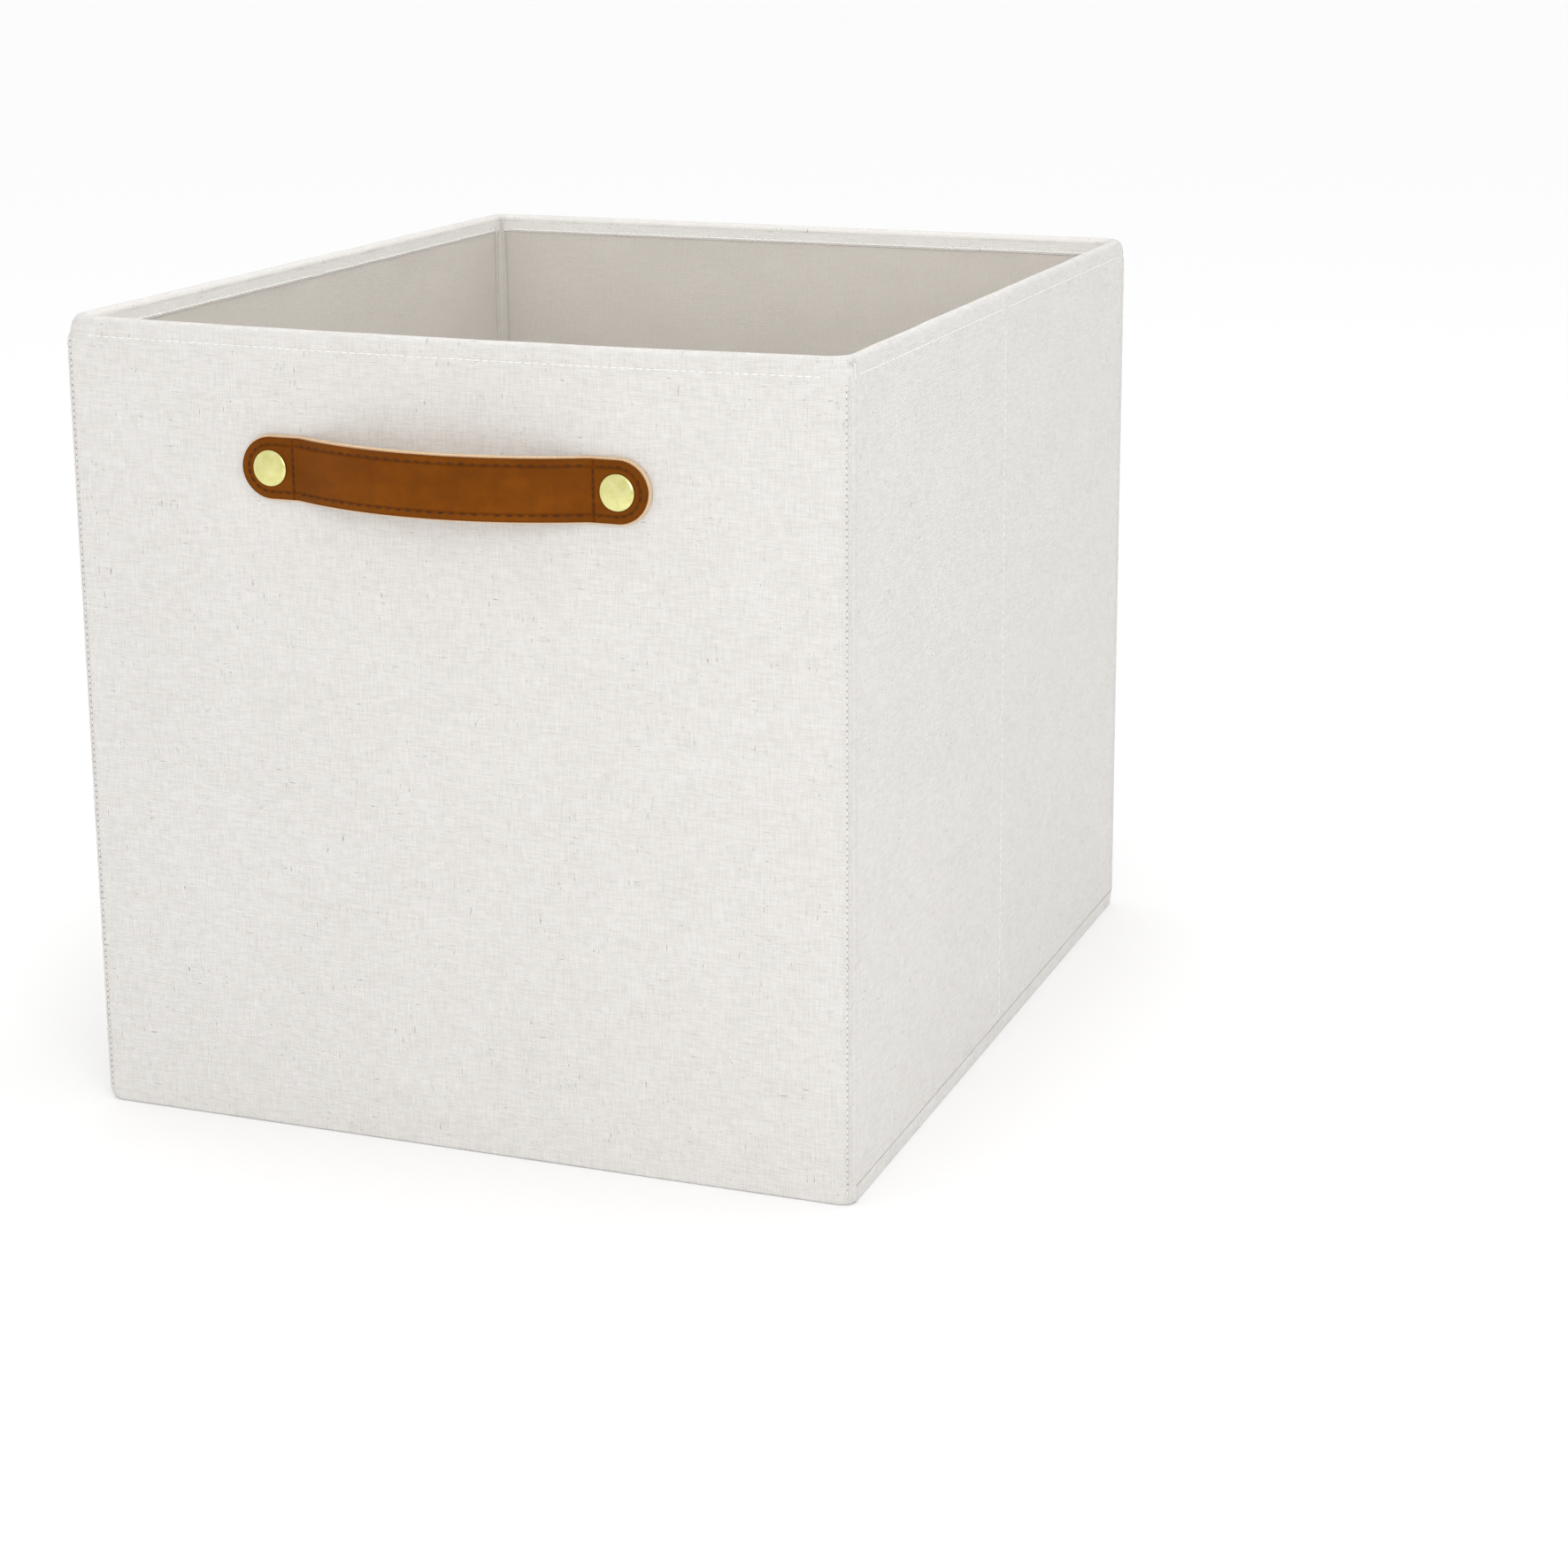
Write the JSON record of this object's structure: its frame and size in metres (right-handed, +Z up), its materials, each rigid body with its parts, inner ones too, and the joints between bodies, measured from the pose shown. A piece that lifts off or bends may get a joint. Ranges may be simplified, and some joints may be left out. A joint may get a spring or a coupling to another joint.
{
  "type": "fabric storage bin",
  "caption": "Open-topped rectangular fabric bin with stiff folding walls, a loose base board and a riveted leather-look strap handle on the front.",
  "frame": {"origin": "middle of the open bin's underside, on the surface it stands on", "axes": "+Z up out of the open top; -Y towards the front wall with the handle; +X to the right seen from the front"},
  "size_m": [0.3246, 0.3984, 0.324],
  "materials": {
    "linen_fabric": "off-white plain weave with slubs and dark flecks",
    "lining": "grey-taupe non-woven with a fine diagonal dimple",
    "board": "plain grey-brown fibreboard, hidden inside the fabric",
    "thread": "off-white sewing thread",
    "strap_leather": "tan brown leather-look, slightly waxed",
    "strap_backing": "pale tan backing with raw cut edge",
    "rivet_brass": "polished pale gold"
  },
  "bodies": {
    "front": {"front_fabric": "linen_fabric", "front_board": "board", "front_lining": "lining", "front_left_seam": "linen_fabric", "front_right_seam": "linen_fabric", "base_fabric": "linen_fabric", "base_lining": "lining", "handle_face_left_end": "strap_leather", "handle_face_right_end": "strap_leather", "handle_backing_left_end": "strap_backing", "handle_backing_right_end": "strap_backing", "handle_left_rivet": "rivet_brass", "handle_right_rivet": "rivet_brass", "handle_left_washer": "rivet_brass", "handle_right_washer": "rivet_brass"},
    "left_front": {"left_front_board": "board", "left_front_fabric": "linen_fabric", "left_front_lining": "lining", "left_crease_stitching": "thread"},
    "left_back": {"left_back_board": "board", "left_back_fabric": "linen_fabric", "left_back_lining": "lining"},
    "right_front": {"right_front_board": "board", "right_front_fabric": "linen_fabric", "right_front_lining": "lining", "right_crease_stitching": "thread"},
    "right_back": {"right_back_board": "board", "right_back_fabric": "linen_fabric", "right_back_lining": "lining"},
    "back": {"back_fabric": "linen_fabric", "back_board": "board", "back_lining": "lining", "back_left_seam": "linen_fabric", "back_right_seam": "linen_fabric"},
    "base_insert": {"base_insert_board": "board", "base_insert_cover": "lining"},
    "handle_grip": {"handle_face_grip": "strap_leather", "handle_backing_grip": "strap_backing"}
  },
  "joints": [
    {"name": "wall_fold", "type": "hinge", "parent": "front", "child": "left_front", "pos_m": [-0.1557, -0.1842, 0], "axis": [0, 0, -1], "range_deg": [0, 88], "deforming": ["base_fabric", "base_lining"]},
    {"name": "left_crease", "type": "hinge", "parent": "left_front", "child": "left_back", "pos_m": [-0.162, 0, 0], "axis": [0, 0, 1], "range_deg": [0, 165.5]},
    {"name": "front_right_corner", "type": "hinge", "parent": "front", "child": "right_front", "pos_m": [0.1557, -0.1842, 0], "axis": [0, 0, 1], "range_deg": [0, 77.5]},
    {"name": "right_crease", "type": "hinge", "parent": "right_front", "child": "right_back", "pos_m": [0.162, 0, 0], "axis": [0, 0, -1], "range_deg": [0, 165.5]},
    {"name": "back_right_corner", "type": "hinge", "parent": "right_back", "child": "back", "pos_m": [0.1557, 0.1842, 0], "axis": [0, 0, 1], "range_deg": [0, 88.1]},
    {"name": "base_lift", "type": "slide", "parent": "front", "child": "base_insert", "axis": [0, 0, 1], "range_m": [0, 0.36]},
    {"name": "handle_lift", "type": "hinge", "parent": "front", "child": "handle_grip", "pos_m": [0, -0.1925, 0.27], "axis": [-1, 0, 0], "range_deg": [0, 28]}
  ],
  "couplings": [
    {"joint": "left_crease", "follows": "wall_fold", "ratio": 1.88},
    {"joint": "front_right_corner", "follows": "wall_fold", "ratio": 0.88},
    {"joint": "right_crease", "follows": "wall_fold", "ratio": 1.88},
    {"joint": "back_right_corner", "follows": "wall_fold", "ratio": 1}
  ]
}
